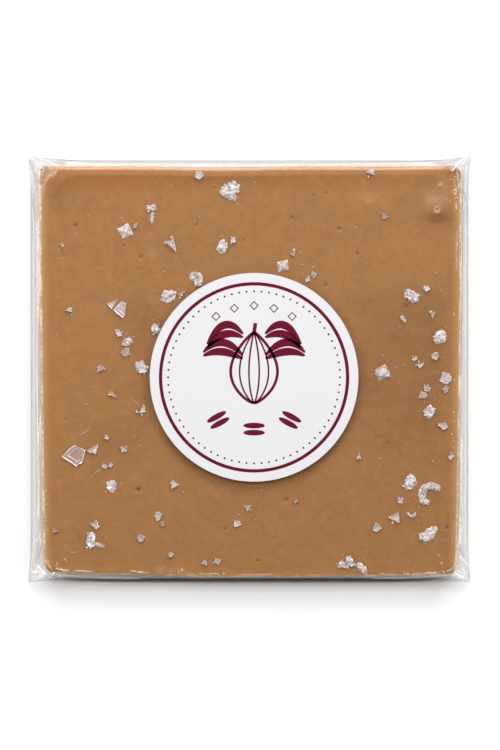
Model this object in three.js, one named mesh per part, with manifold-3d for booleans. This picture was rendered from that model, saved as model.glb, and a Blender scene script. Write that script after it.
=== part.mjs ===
// A square slab of caramel milk chocolate, strewn with flakes of sea salt and sealed in a clear
// film bag that carries a round paper label. It lies on its back, with the label up.
// Millimetres. +Z is up, +X runs to the right across the face and +Y up the face. The origin is
// the middle of the bag's outline, on the surface that the pack lies on.
import * as THREE from 'three';
import { mergeVertices } from 'three/addons/utils/BufferGeometryUtils.js';
import Module from 'manifold-3d';

const wasm = await Module();
wasm.setup();

// The chocolate: cast in an open mould, so its shown face has a raised rim and its sides taper.
const slabTopWidth = 101.4;
const slabFootWidth = 99.2;
const slabLength = 98.1;
const slabThickness = 7.75;
const slabMiddle = [0.2, -0.45];
const slabCornerRadii = [2.0, 2.0, 1.5, 1.0]; // counter-clockwise from the lower left
const mouldDraft = 0.9;
const footRound = 0.5;
const rimHeight = 0.5;
const rimCrest = 0.5; // from the slab's edge in to the top of the rim
const rimReach = 3.8; // from the slab's edge in to where the face is flat
const faceCornerRadius = 4.5;

// The film bag. Its sheets are drawn thicker than real film, so that they are solids.
const bagWidth = 104.9;
const bagLength = 100.2;
const earLength = 12.0; // along each edge, from a corner's tip to where the edge runs straight
const earReach = [0.65, 1.15]; // how far a tip stands out past the side and the end
const seamHeight = 4.6;
const seamThickness = 0.4;
const backSheet = 0.5;
const faceSheet = 0.275;
const sideSheet = 0.3;
const filmPlay = 0.3;
const flapDepth = 32.0; // of the flap folded behind the pack from its upper end
const flapSlit = [90.0, 0.3];

// The label.
const labelDiameter = 50.0;
const labelThickness = 0.25;
const labelMiddle = [1.1, -2.0];

// The salt. A flake's top stays low enough to clear the film.
const flakeRise = 0.5;
const plateThickness = 0.5;
const smallFlakes = 26;
const smallFlakeWidths = [0.9, 1.6];
const smallFlakeSpacing = 2.6;

// The larger flakes as they lie on the face: x, y and width of each.
const platePlaces = [
  [-16.3, 17.9, 2.1], [-31.3, 8.6, 1.9], [-29.7, 4.0, 2.4], [-32.9, 15.6, 2.4], [-31.0, 13.8, 3.4],
  [-4.2, 30.7, 2.1], [34.9, -35.5, 3.2], [22.9, -47.3, 1.9], [25.0, -45.9, 1.9], [-37.3, -37.6, 2.8],
  [-42.2, -20.9, 5.4], [-37.4, -19.4, 2.8], [-30.3, -19.3, 1.9], [-18.0, -27.9, 2.3], [-21.8, -35.3, 2.0],
  [-3.0, -37.1, 1.9], [-7.7, -46.2, 2.0], [26.1, -21.0, 1.7], [30.5, -38.0, 2.1], [-18.8, 29.9, 3.8],
  [-43.3, 13.8, 2.2], [-22.1, 9.7, 2.6], [-12.0, 46.4, 2.2], [29.0, 46.6, 2.3], [10.4, 27.8, 2.0],
  [15.3, 22.9, 1.8], [44.1, 13.2, 2.0], [36.8, 11.9, 1.7], [40.9, 1.1, 2.0], [44.7, 3.0, 1.9],
  [46.4, -2.2, 2.9], [42.6, -4.6, 1.9], [41.5, -6.8, 2.1], [43.0, -10.1, 3.1], [45.9, -13.4, 2.2],
  [-25.7, 0.4, 3.4], [-35.6, 0.0, 2.2], [-32.7, -6.2, 2.3], [-25.9, -9.8, 2.7],
];
const pyramidPlaces = [[-29.7, 33.0, 3.3], [8.0, 24.8, 3.2], [31.9, -1.0, 3.5]];
const heapPlaces = [
  [-4.7, 42.9, 4.6], [-12.7, 21.7, 3.6], [-19.3, 17.5, 3.8], [39.0, 17.5, 3.7], [45.4, 7.6, 3.2],
  [-29.3, 6.5, 2.6], [-6.4, 29.3, 3.0], [38.5, -27.1, 3.3], [42.8, -29.7, 5.2], [38.7, -35.3, 3.0],
  [43.0, -39.6, 4.6], [-38.0, -41.2, 4.4], [-33.0, -28.1, 2.8], [-23.6, 37.3, 3.4],
];

// The blister near one corner of the face: radius and height at the rim of its small crater.
const blisterMiddle = [45.0, 38.4];
const blisterProfile = [[0, -0.3], [3.2, -0.3], [3.2, 0.0], [2.3, 0.22], [1.4, 0.42], [0.9, 0.45], [0.5, 0.3], [0, 0.27]];

const cornerSteps = 6; // an outline has this many steps round each corner
const labelSteps = 96;
const faceHeight = backSheet + slabThickness;
const bagTop = faceHeight + rimHeight + filmPlay + faceSheet + 0.05;

// Draws are seeded, so that every build strews the same flakes.
function seededDraws(seed) {
  let state = seed;
  return (low, high) => {
    state = (state * 1664525 + 1013904223) % 4294967296;
    return low + (high - low) * (state / 4294967296);
  };
}

const draw = seededDraws(2117);

function closedSolid(geometry) {
  geometry.deleteAttribute('normal');
  geometry.deleteAttribute('uv');
  const merged = mergeVertices(geometry);
  return new wasm.Manifold(new wasm.Mesh({
    numProp: 3,
    vertProperties: new Float32Array(merged.attributes.position.array),
    triVerts: new Uint32Array(merged.index.array),
  }));
}

function geometryOf(solid) {
  const mesh = solid.getMesh();
  const geometry = new THREE.BufferGeometry();
  geometry.setAttribute('position', new THREE.BufferAttribute(mesh.vertProperties, 3));
  geometry.setIndex(new THREE.BufferAttribute(mesh.triVerts, 1));
  geometry.computeVertexNormals();
  return geometry;
}

// Rings run counter-clockwise as seen from above, the lowest or outermost first, each with the
// same number of points. The first and the last are closed by a fan round their middles.
function loft(rings) {
  const count = rings[0].length;
  const points = rings.flat();
  const faces = [];
  for (let level = 0; level < rings.length - 1; level += 1) {
    for (let step = 0; step < count; step += 1) {
      const low = level * count + step;
      const lowNext = level * count + (step + 1) % count;
      faces.push(low, lowNext, lowNext + count, low, lowNext + count, low + count);
    }
  }
  const foot = points.length;
  const top = foot + 1;
  const lastRing = (rings.length - 1) * count;
  points.push([...slabMiddle, rings[0][0][2]], [...slabMiddle, rings.at(-1)[0][2]]);
  for (let step = 0; step < count; step += 1) {
    const next = (step + 1) % count;
    faces.push(foot, next, step, top, lastRing + step, lastRing + next);
  }
  const geometry = new THREE.BufferGeometry();
  geometry.setAttribute('position', new THREE.Float32BufferAttribute(points.flat(), 3));
  geometry.setIndex(faces);
  return geometry;
}

// The slab's outline, moved in by inset: a rectangle with round corners, wider towards the top.
function slabRing(inset, height, leastRadius = 0.3) {
  const width = (slabTopWidth + slabFootWidth) / 2;
  const taper = (slabTopWidth - slabFootWidth) / 2 / width;
  const halves = [width / 2 - inset, slabLength / 2 - inset];
  const ring = [];
  slabCornerRadii.forEach((cornerRadius, corner) => {
    const radius = Math.max(cornerRadius - inset, leastRadius);
    const sideX = corner === 1 || corner === 2 ? 1 : -1;
    const sideY = corner > 1 ? 1 : -1;
    for (let step = 0; step <= cornerSteps; step += 1) {
      const angle = (Math.PI / 2) * (corner + 2 + step / cornerSteps);
      const x = sideX * (halves[0] - radius) + radius * Math.cos(angle);
      const y = sideY * (halves[1] - radius) + radius * Math.sin(angle);
      ring.push([slabMiddle[0] + x * (1 + (taper * y) / (slabLength / 2)), slabMiddle[1] + y, height]);
    }
  });
  return ring;
}

// The bag's outline at its weld. Each edge is straight in the middle and bends out to the tips
// of the two ears at its ends, by a curve that steepens with the square of the distance.
function bagRing(height) {
  const tip = [bagWidth / 2 + earReach[0], bagLength / 2 + earReach[1]];
  const ring = [];
  for (let corner = 0; corner < 4; corner += 1) {
    const sideX = corner === 1 || corner === 2 ? 1 : -1;
    const sideY = corner > 1 ? 1 : -1;
    const leavesAlong = corner % 2 === 0 ? 0 : 1;
    for (let step = 0; step <= cornerSteps; step += 1) {
      const offset = step - cornerSteps / 2;
      const share = (Math.abs(offset) / (cornerSteps / 2)) ** 1.6;
      const along = offset > 0 ? leavesAlong : 1 - leavesAlong;
      const point = [0, 0, height];
      point[along] = tip[along] - share * earLength;
      point[1 - along] = tip[1 - along] - earReach[1 - along] * (1 - (1 - share) ** 2);
      ring.push([sideX * point[0], sideY * point[1], height]);
    }
  }
  return ring;
}

function slabBody() {
  return closedSolid(loft([
    slabRing(mouldDraft + footRound, backSheet),
    slabRing(mouldDraft, backSheet + footRound),
    slabRing(0, faceHeight + 0.15),
    slabRing(0.15, faceHeight + 0.8 * rimHeight),
    slabRing(rimCrest, faceHeight + rimHeight),
    slabRing(1.4, faceHeight + 0.55 * rimHeight, 1.5),
    slabRing(2.5, faceHeight + 0.14 * rimHeight, 3.0),
    slabRing(rimReach, faceHeight, faceCornerRadius),
  ]));
}

function blister() {
  const profile = blisterProfile.map(([radius, rise]) => new THREE.Vector2(radius, rise));
  const geometry = new THREE.LatheGeometry(profile, 14);
  geometry.rotateX(Math.PI / 2);
  geometry.translate(...blisterMiddle, faceHeight);
  return closedSolid(geometry);
}

// A thin many-sided plate with uneven corners.
function plate(width) {
  const corners = Math.round(draw(4.6, 6.4));
  const outline = new THREE.Shape();
  for (let corner = 0; corner < corners; corner += 1) {
    const angle = (2 * Math.PI * (corner + draw(-0.22, 0.22))) / corners;
    const radius = (width / 2) * draw(0.78, 1.08);
    outline[corner ? 'lineTo' : 'moveTo'](radius * Math.cos(angle), radius * Math.sin(angle));
  }
  return new THREE.ExtrudeGeometry(outline, { depth: plateThickness, bevelEnabled: false });
}

// A four-sided hollow-faced crystal, as a blunt pyramid.
function pyramid(width) {
  const geometry = new THREE.CylinderGeometry(0.16 * width, 0.6 * width, 0.9, 4);
  geometry.rotateX(Math.PI / 2);
  return geometry;
}

function chunk(width) {
  const geometry = new THREE.IcosahedronGeometry(width / 2, 0);
  geometry.scale(1, draw(0.6, 0.9), 0.55);
  return geometry;
}

// Turns and tips a flake at random and presses it into the face, with its top above it.
function strewn(geometry, x, y, mostTip = 0.12) {
  geometry.rotateX(draw(-mostTip, mostTip));
  geometry.rotateY(draw(-mostTip, mostTip));
  geometry.rotateZ(draw(0, 2 * Math.PI));
  geometry.computeBoundingBox();
  const { min, max } = geometry.boundingBox;
  const rise = Math.min(flakeRise, 0.8 * (max.z - min.z));
  geometry.translate(x, y, faceHeight + rise - max.z);
  return closedSolid(geometry);
}

// A heap is one plate with broken chunks round it.
function heap(x, y, width) {
  const pieces = [strewn(plate(0.6 * width), x, y)];
  for (let piece = 0; piece < 3; piece += 1) {
    const angle = (2 * Math.PI * (piece + draw(0, 0.6))) / 3;
    const reach = 0.34 * width;
    pieces.push(strewn(chunk(draw(0.34, 0.5) * width), x + reach * Math.cos(angle), y + reach * Math.sin(angle), 0.4));
  }
  return pieces;
}

// Small flakes go where a random draw puts them, clear of the large ones and of the label.
function smallFlakePlaces(taken) {
  const places = [];
  const reach = [slabFootWidth / 2 - rimReach, slabLength / 2 - rimReach];
  while (places.length < smallFlakes) {
    const place = [draw(-reach[0], reach[0]), draw(-reach[1], reach[1]), draw(...smallFlakeWidths)];
    const fromLabel = Math.hypot(place[0] - labelMiddle[0], place[1] - labelMiddle[1]);
    const clear = [...taken, ...places].every(([x, y, width]) => (
      Math.hypot(place[0] - x, place[1] - y) > smallFlakeSpacing + width / 2
    ));
    if (clear && fromLabel > labelDiameter / 2 + 1.5) {
      places.push(place);
    }
  }
  return places;
}

function chocolateSlab() {
  const small = smallFlakePlaces([...platePlaces, ...pyramidPlaces, ...heapPlaces]);
  const flakes = [
    ...platePlaces.map(([x, y, width]) => strewn(plate(width), x, y)),
    ...pyramidPlaces.map(([x, y, width]) => strewn(pyramid(width), x, y, 0.05)),
    ...heapPlaces.flatMap(([x, y, width]) => heap(x, y, width)),
    ...small.map(([x, y, width]) => strewn(chunk(width), x, y, 0.4)),
  ];
  let slab = slabBody().add(blister());
  flakes.forEach((flake) => {
    slab = slab.add(flake);
  });
  return geometryOf(slab);
}

// The space that the chocolate fills inside the bag.
function bagHollow() {
  return closedSolid(loft([
    slabRing(mouldDraft - filmPlay, backSheet),
    slabRing(-filmPlay, faceHeight + 0.1),
    slabRing(-filmPlay, bagTop - faceSheet),
  ]));
}

// The lap where the flap meets the back, as a narrow slit through the back sheet.
function flapOpening() {
  const geometry = new THREE.BoxGeometry(...flapSlit, 2 * backSheet);
  geometry.translate(0, bagLength / 2 - flapDepth, backSheet / 2);
  return closedSolid(geometry);
}

// Taut film runs straight from the slab's edges, above and below, out to the weld round it.
function filmBag() {
  const wall = filmPlay + sideSheet;
  const outside = closedSolid(loft([
    slabRing(mouldDraft, 0),
    slabRing(mouldDraft - wall, 0.3),
    bagRing(seamHeight - seamThickness / 2),
    bagRing(seamHeight + seamThickness / 2),
    slabRing(-wall, bagTop - 0.35),
    slabRing(0, bagTop),
  ]));
  return geometryOf(outside.subtract(bagHollow()).subtract(flapOpening()));
}

function roundLabel() {
  const outline = new THREE.Shape();
  outline.absarc(0, 0, labelDiameter / 2, 0, 2 * Math.PI, false);
  return new THREE.ExtrudeGeometry(outline, {
    depth: labelThickness,
    bevelEnabled: false,
    curveSegments: labelSteps,
  });
}

const chocolateFinish = new THREE.MeshStandardMaterial({ color: 0xad8055, roughness: 0.45, metalness: 0 });
const filmFinish = new THREE.MeshStandardMaterial({ color: 0xf2f4f5, roughness: 0.08, metalness: 0 });
filmFinish.transparent = true;
filmFinish.opacity = 0.25;
const paperFinish = new THREE.MeshStandardMaterial({ color: 0xf1f0f3, roughness: 0.6, metalness: 0 });

function named(name, geometry, material) {
  const mesh = new THREE.Mesh(geometry, material);
  mesh.name = name;
  return mesh;
}

const label = named('round_label', roundLabel(), paperFinish);
label.position.set(...labelMiddle, bagTop);

const pack = new THREE.Group();
pack.add(named('chocolate_slab', chocolateSlab(), chocolateFinish));
pack.add(named('film_bag', filmBag(), filmFinish));
pack.add(label);

export default pack;
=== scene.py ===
# A slab of caramel milk chocolate with sea-salt flakes in a clear film bag with a round label,
# lying on a white table under soft light from beyond its upper edge. Lengths are in mm, and in m in the
# finishes and the studio.
import bpy
import numpy as np
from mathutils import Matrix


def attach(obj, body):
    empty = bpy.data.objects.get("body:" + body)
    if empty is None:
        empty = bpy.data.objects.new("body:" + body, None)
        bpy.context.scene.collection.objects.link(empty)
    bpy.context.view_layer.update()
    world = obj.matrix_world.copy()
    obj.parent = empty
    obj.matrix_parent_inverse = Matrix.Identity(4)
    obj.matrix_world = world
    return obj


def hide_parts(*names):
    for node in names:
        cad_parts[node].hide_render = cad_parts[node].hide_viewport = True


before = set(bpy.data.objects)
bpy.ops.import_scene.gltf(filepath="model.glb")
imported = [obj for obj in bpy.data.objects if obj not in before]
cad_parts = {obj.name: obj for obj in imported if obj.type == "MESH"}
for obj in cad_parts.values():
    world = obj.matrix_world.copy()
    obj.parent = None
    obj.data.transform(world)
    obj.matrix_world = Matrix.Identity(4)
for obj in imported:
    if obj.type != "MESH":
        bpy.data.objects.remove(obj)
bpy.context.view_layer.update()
mm = 0.001
scene = bpy.context.scene


def place(name, data):
    # links a new object with its data into the scene
    holder = bpy.data.objects.new(name, data)
    scene.collection.objects.link(holder)
    return holder


def makePiece(name, points, faces, finish, smooth=True, marks=None):
    # points are rows of x, y, z in mm, faces are arrays of corners, marks are values for each point
    mesh = bpy.data.meshes.new(name)
    corners = np.concatenate([part.ravel() for part in faces]).astype(np.int32)
    sizes = np.concatenate([np.full(len(part), part.shape[1]) for part in faces])
    starts = np.concatenate([[0], np.cumsum(sizes)[:-1]]).astype(np.int32)
    mesh.vertices.add(len(points))
    mesh.vertices.foreach_set("co", (np.asarray(points) * mm).astype(np.float32).ravel())
    mesh.loops.add(len(corners))
    mesh.loops.foreach_set("vertex_index", corners)
    mesh.polygons.add(len(sizes))
    mesh.polygons.foreach_set("loop_start", starts)
    mesh.update(calc_edges=True)
    mesh.validate()
    mesh.polygons.foreach_set("use_smooth", np.full(len(mesh.polygons), smooth))
    for key, values in (marks or {}).items():
        layer = mesh.attributes.new(key, "FLOAT", "POINT")
        layer.data.foreach_set("value", np.asarray(values, np.float32))
    mesh.materials.append(finish)
    piece = place(name, mesh)
    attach(piece, "root")
    print(name, len(points), "points")
    return piece


def gridFaces(rows, columns, closed=False):
    # four-cornered faces of a grid whose points run row by row; closed joins the last column to the first
    row, column = np.meshgrid(np.arange(rows - 1), np.arange(columns - (not closed)), indexing="ij")
    after = (column + 1) % columns
    lower, upper = row * columns, (row + 1) * columns
    return np.stack([lower + column, lower + after, upper + after, upper + column], -1).reshape(-1, 4)


def fanFaces(ring, middle, flip=False):
    # three-cornered faces from each step of a closed ring to one middle point
    after = np.roll(ring, -1)
    faces = np.stack([ring, after, np.full(len(ring), middle)], -1)
    return faces[:, ::-1] if flip else faces


def smoothStep(low, high, value):
    # 0 below low, 1 above high, and an even S between them
    share = np.clip((value - low) / (high - low), 0, 1)
    return share * share * (3 - 2 * share)


def waves(draws, count, longest, shortest):
    # a sum of sine waves over the plane with drawn directions and lengths in mm, about -1 to 1
    angle = draws.uniform(0, 2 * np.pi, count)
    number = 2 * np.pi / np.exp(draws.uniform(np.log(shortest), np.log(longest), count))
    phase = draws.uniform(0, 2 * np.pi, count)

    def field(x, y):
        turn = number * (np.asarray(x)[..., None] * np.cos(angle) + np.asarray(y)[..., None] * np.sin(angle))
        return np.sin(turn + phase).sum(-1) / np.sqrt(count)
    return field


class Wire:
    # a shader socket that takes part in sums
    def __init__(self, finish, socket):
        self.finish, self.socket = finish, socket

    def sum(self, operation, first, second):
        return self.finish.node("Math", {"operation": operation}, {0: first, 1: second})

    def __add__(self, other):
        return self.sum("ADD", self, other)

    def __sub__(self, other):
        return self.sum("SUBTRACT", self, other)

    def __rsub__(self, other):
        return self.sum("SUBTRACT", other, self)

    def __mul__(self, other):
        return self.sum("MULTIPLY", self, other)

    def __pow__(self, other):
        return self.sum("POWER", self, other)

    __radd__, __rmul__ = __add__, __mul__


class Finish:
    # a material, with one method for every kind of node
    def __init__(self, name):
        self.material = bpy.data.materials.new(name)
        self.material.use_nodes = True
        self.tree = self.material.node_tree
        self.tree.nodes.clear()

    def node(self, kind, settings=None, values=None, out=0):
        node = self.tree.nodes.new("ShaderNode" + kind)
        for key, value in (settings or {}).items():
            setattr(node, key, value)
        for key, value in (values or {}).items():
            if isinstance(value, Wire):
                self.tree.links.new(value.socket, node.inputs[key])
            else:
                node.inputs[key].default_value = value
        return Wire(self, node.outputs[out]) if len(node.outputs) else node

    def noise(self, scale, detail=2.0, rough=0.5, swirl=0.0):
        spot = self.node("TexCoord", out=3)
        values = {"Vector": spot, "Scale": scale, "Detail": detail, "Roughness": rough, "Distortion": swirl}
        return self.node("TexNoise", None, values)

    def blend(self, share, first, second):
        # a mix of two colours by a share from 0 to 1
        return self.node("Mix", {"data_type": "RGBA"}, {0: share, 6: first, 7: second}, out=2)

    def mark(self, name):
        return self.node("Attribute", {"attribute_name": name}, out=2)

    def bump(self, height, depth):
        return self.node("Bump", None, {"Height": height, "Distance": depth, "Strength": 1.0})

    def skin(self, values):
        return self.node("BsdfPrincipled", None, values)

    def close(self, shader):
        self.node("OutputMaterial", None, {"Surface": shader})
        return self.material


chocolateColours = {
    "dark": (0.235, 0.104, 0.031, 1), "light": (0.362, 0.169, 0.053, 1), "warm": (0.36, 0.125, 0.033, 1),
    # on the next line, a paler chocolate for painted light on the rims, then the colours of a painted glow
    # and of painted shade
    "rim": (0.50, 0.265, 0.115, 1), "paintedGlow": (0.40, 0.132, 0.026, 1), "paintedShade": (0.17, 0.06, 0.02, 1),
    # a cream for pale scrapes and for painted highlights
    "scrapeAndHighlight": (0.95, 0.72, 0.48, 1),
}


def chocolateFinish():
    # the tone with its painted shade, plus three sizes of noise about their mean, warmer in places, then each
    # mark's colour over it: painted rim light, painted glow, painted shade, and scrapes with painted
    # highlights
    f = Finish("caramelChocolate")
    clouds = 0.16 * f.noise(55.0, 3.0)
    blotches = 0.40 * f.noise(210.0, 2.0, 0.6, 0.8)
    mottles = 1.10 * f.noise(480.0, 3.0, 0.75, 0.8)
    toneAndShade = f.mark("toneAndShade") + clouds + blotches + mottles - 0.85
    colour = f.blend(toneAndShade, chocolateColours["dark"], chocolateColours["light"])
    colour = f.blend(0.20 * f.noise(130.0, 4.0, 0.7, 0.6) ** 2.0, colour, chocolateColours["warm"])
    for mark in ("rim", "paintedGlow", "paintedShade", "scrapeAndHighlight"):
        colour = f.blend(f.mark(mark), colour, chocolateColours[mark])
    return f.close(f.skin({
        "Base Color": colour,
        "Roughness": 0.40 + 0.14 * f.noise(320.0, 2.0),
        "Normal": f.bump(f.noise(900.0, 3.0, 0.6), 0.000006),
        "Specular IOR Level": 0.25,
    }))


def saltFinish():
    f = Finish("seaSalt")
    return f.close(f.skin({
        "Base Color": f.blend(f.noise(1500.0, 2.0), (0.97, 0.94, 0.935, 1), (0.78, 0.70, 0.68, 1)),
        "Roughness": 0.14,
        "Alpha": f.mark("frost"),
        "Specular IOR Level": 0.9,
    }))


def filmFinish():
    # clear, greyer where it is steep or folded, with a gloss that grows towards grazing; milky white where
    # whitened, which is partly whitened creases and partly painted highlights and painted light
    f = Finish("clearFilm")
    facing = f.node("LayerWeight", None, {"Blend": 0.5}, out=1)
    fold = f.mark("fold")
    tint = f.blend(facing ** 1.5 * f.mark("dense"), (0.985, 0.985, 0.985, 1), (0.62, 0.62, 0.63, 1))
    # where folded, the film is tinted a dark brown; on the lap sheet this is a painted contact shadow
    clear = f.node("BsdfTransparent", None, {"Color": f.blend(fold, tint, (0.17, 0.132, 0.10, 1))})
    gloss = f.skin({"Base Color": (0.95, 0.955, 0.96, 1), "Metallic": 1.0, "Roughness": 0.09})
    milkyAndHighlight = f.skin({"Base Color": (0.95, 0.95, 0.955, 1), "Roughness": 0.4})
    share = (0.032 + 0.12 * facing ** 3.0) * (1.0 - 0.95 * fold)
    film = f.node("MixShader", None, {0: share, 1: clear, 2: gloss})
    return f.close(f.node("MixShader", None, {0: f.mark("white"), 1: film, 2: milkyAndHighlight}))


def paperFinish():
    f = Finish("labelPaper")
    fibre = f.noise(2500.0, 2.0)
    return f.close(f.skin({
        "Base Color": f.blend(f.noise(60.0), (0.63, 0.625, 0.645, 1), (0.62, 0.615, 0.635, 1)),
        "Roughness": 0.5 + 0.1 * fibre,
        "Normal": f.bump(fibre, 0.000008),
    }))


def inkFinish():
    f = Finish("crimsonInk")
    return f.close(f.skin({
        "Base Color": f.blend(f.noise(700.0), (0.112, 0.002, 0.016, 1), (0.124, 0.004, 0.020, 1)),
        "Roughness": 0.45,
        "Specular IOR Level": 0.08,
    }))


def shavingFinish():
    f = Finish("scrapedChocolate")
    return f.close(f.skin({
        "Base Color": f.blend(f.noise(1200.0), (0.95, 0.80, 0.62, 1), (0.78, 0.54, 0.33, 1)),
        "Roughness": 0.5,
        "Specular IOR Level": 0.2,
    }))


slab = {
    "topWidth": 101.0, "footWidth": 98.8, "length": 98.6, "middle": (0.2, -0.56),
    "bow": 0.34,                              # how far each upright side bulges past straight at its middle
    "face": 7.7,
    "cornerRadii": (2.6, 2.4, 2.0, 1.5),      # counter-clockwise from the lower left
    "shoulderRadii": (3.0, 3.0, 3.0, 3.0),    # of the shoulder's start, likewise
    "poolRadii": (5.0, 4.5, 7.0, 10.0),       # of the face inside the crest, likewise
    # left, right, lower and upper: how far in the shoulder starts, its fall, the crest's height and reach
    "shoulders": (2.5, 2.3, 0.7, 2.3),
    "falls": (0.85, 0.85, 0.35, 0.95),
    "crests": (0.22, 0.20, 0.08, 0.54),
    "reaches": (3.0, 3.0, 2.0, 4.6),
    "fold": (8.5, 0.22),                      # across the upper left corner: radius of its arc and height
    "blister": (45.0, 38.3, 3.7, 0.66),       # x, y, radius, height
    "crater": (0.75, 0.30),                   # radius, depth
    "ripple": 0.03, "chip": 0.05, "edgeRound": 0.2,
    "lines": 268,                             # of the face's grid, each way
    # each ring of the wall: how far out from the face's border, and how far below it or how high
    "wall": [(0.10, -0.03), (0.17, -0.10), (0.20, -0.24), (0.20, -0.60)],
    "toe": [(-0.55, 2.4), (-0.7, 1.1), (-0.95, 0.68), (-1.4, 0.5)],
}
slab["width"] = (slab["topWidth"] + slab["footWidth"]) / 2   # halfway up
slab["taper"] = (slab["topWidth"] - slab["footWidth"]) / 2   # what it gains from there to the upper edge

# pits left by bubbles: x, y and radius; and low bumps: x, y, radius and height
pits = np.array([
    (-41.8, 34.5, 0.42), (-26, 26.9, 0.36), (10.2, 36.2, 0.32), (21.5, 33.6, 0.36), (25.8, 27.6, 0.34),
    (15.5, 41.7, 0.24), (18.3, 42.2, 0.26), (18.3, 20.1, 0.30), (37.5, 14.9, 0.34), (8.8, -31.4, 0.42),
    (47.4, -38.1, 0.36), (2, -46, 0.34), (-12.8, 34.5, 0.28), (-30.1, 29.5, 0.24), (-5.9, -38.4, 0.30),
    (-26.7, -29, 0.55), (-1.5, 30.9, 0.22), (33, -18, 0.26), (-44, -12, 0.24), (6, -40.5, 0.22),
])
bumps = np.array([
    (28.4, 40.3, 1.3, 0.16), (-23.1, 27.1, 1.6, 0.06), (17.9, 38.1, 2.4, 0.05), (23.6, 31.9, 2, 0.05),
    (45.9, 44, 1.2, 0.12), (-38, 38.5, 2, 0.05), (30, -12.5, 1.8, 0.05), (12, -36, 2.6, 0.05),
    (-12, -40, 2.2, 0.05), (35, 28, 1.5, 0.06), (-44, 24, 1.4, 0.06),
])
# pale scratches, and painted glows of light through thin chocolate, along lines: x, y along each, half width,
# strength
scratches = [
    ([(49.1, 46.1), (49.2, 44.4), (49.7, 43.3), (49.6, 42.2), (49.6, 41)], 0.14, 0.30),
    ([(49.6, 39.9), (49.45, 39.1), (49.6, 38.5)], 0.15, 0.40), ([(49.8, 47.9), (49.85, 46.9)], 0.15, 0.50),
    ([(49.9, 46.9), (49.9, 45.1)], 0.13, 0.32), ([(50.2, 44.7), (50.4, 43.4)], 0.15, 0.35),
    ([(48.7, 47.3), (49.5, 48.1)], 0.13, 0.50), ([(47.7, 45.5), (48.9, 45.5)], 0.12, 0.22),
    ([(48.8, 42.7), (49.25, 42)], 0.17, 0.42), ([(49.7, 33), (49.6, 28.5), (49.65, 24)], 0.13, 0.25),
    ([(-49.8, 47.3), (-48.6, 46.9), (-47.5, 46.5)], 0.14, 0.34),
    ([(-48.7, 46.1), (-47.4, 46.2), (-46.5, 46.6)], 0.14, 0.30), ([(-49.6, 45.6), (-49, 44.4)], 0.13, 0.25),
    ([(-47, 47.6), (-45.8, 47.2)], 0.13, 0.22),
    ([(-48.7, -45.7), (-48.3, -47), (-47.3, -48.2)], 0.13, 0.45),
    ([(-46.3, -47.9), (-44.8, -48.25), (-43.3, -48.35)], 0.12, 0.95),
    ([(-41.9, -48.4), (-39.5, -48.4), (-37.8, -48.65)], 0.10, 0.75),
    ([(-28.5, -48.4), (-26, -48.7), (-24.3, -48.9)], 0.11, 0.45),
    ([(-15, -49.1), (-13.4, -49.15)], 0.10, 0.32), ([(-12.1, -49.1), (-8, -49.2)], 0.10, 0.36),
    ([(-2, -49.3), (5.6, -49.3)], 0.10, 0.36), ([(14.7, -49.35), (16.8, -49.35)], 0.10, 0.30),
    ([(37.1, -49.3), (40.9, -49.2)], 0.11, 0.45), ([(42.5, -48.8), (44.9, -48.95)], 0.11, 0.80),
    ([(47.9, -48.4), (49.1, -47.5), (49.5, -45.5)], 0.11, 0.60),
]
paintedGlows = [
    ([(-49.4, 46.9), (-48.9, 46.6)], 0.45, 0.95), ([(-47, 45.6), (-46.2, 45.9)], 0.35, 0.75),
    ([(48.6, 44.6), (48.9, 43.4)], 0.40, 0.30), ([(47.9, 39.6), (47.6, 38.2)], 0.7, 0.35),
]
# pale spots, most of them painted light on the lit slopes of the blister and bumps, one a painted glint: x,
# y, radius and strength
paleAndLitSpots = [
    (43.6, 40.8, 2.2, 0.09), (45.9, 44.4, 0.55, 0.28), (43, 38.6, 1.2, 0.07), (28.5, 40.2, 0.8, 0.08),
    (-23, 27.4, 1.2, 0.05), (46.6, 42.8, 2.4, 0.07), (-21.4, -48.2, 0.9, 0.10), (-16.7, -48.3, 0.8, 0.10),
]


def edgeShift(x, y):
    # how far the level edges lie off straight: the lower climbs at both ends, the upper dips in its middle
    climb = 0.85 * smoothStep(-5.0, -47.0, x) + 0.35 * smoothStep(15.0, 48.0, x)
    dip = 0.35 * np.exp(-((x + 7.0) / 12.0) ** 2)
    return climb * smoothStep(-43.0, -48.0, y) - dip * smoothStep(42.0, 47.5, y)


def bowed(share):
    # the bulge of the upright sides at a share of the half length, by the fourth power
    return slab["bow"] * (1 - np.clip(np.abs(share), 0, 1) ** 4)


def sideDistances(x, y):
    # how far a point lies in from the left, right, lower and upper edges of the slab
    middleX, middleY = slab["middle"]
    share = (y - middleY) / slab["length"]
    half = slab["width"] / 2 + slab["taper"] * share + bowed(2 * share)
    straight, halfLength = y - edgeShift(x, y) - middleY, slab["length"] / 2
    return x - middleX + half, middleX + half - x, straight + halfLength, halfLength - straight


def atCorner(values, isRight, isUpper):
    # of four values, counter-clockwise from the lower left, that of the corner nearest to each point
    return np.where(isUpper, np.where(isRight, values[2], values[3]), np.where(isRight, values[1], values[0]))


def pastFold(left, upper):
    # how far a point lies past the fold's arc towards the corner, and -1 where it lies away from the corner
    radius = slab["fold"][0]
    beyond = np.hypot(radius - left, radius - upper) - radius
    return np.where((left < radius) & (upper < radius), beyond, -1)


def bell(x, y, middleX, middleY, radius, power=2):
    # 1 at the middle and e to the power of -1 at the radius
    return np.exp(-(np.hypot(x - middleX, y - middleY) / radius) ** power)


def corneredDistance(x, y, radii):
    # distance in from the edge, with the lines of equal distance rounded by a radius at each corner
    left, right, lower, upper = sideDistances(x, y)
    across, up = np.minimum(left, right), np.minimum(lower, upper)
    radius = atCorner(radii, left > right, lower > upper)
    inCorner = (across < radius) & (up < radius)
    return np.where(inCorner, radius - np.hypot(radius - across, radius - up), np.minimum(across, up))


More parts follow.
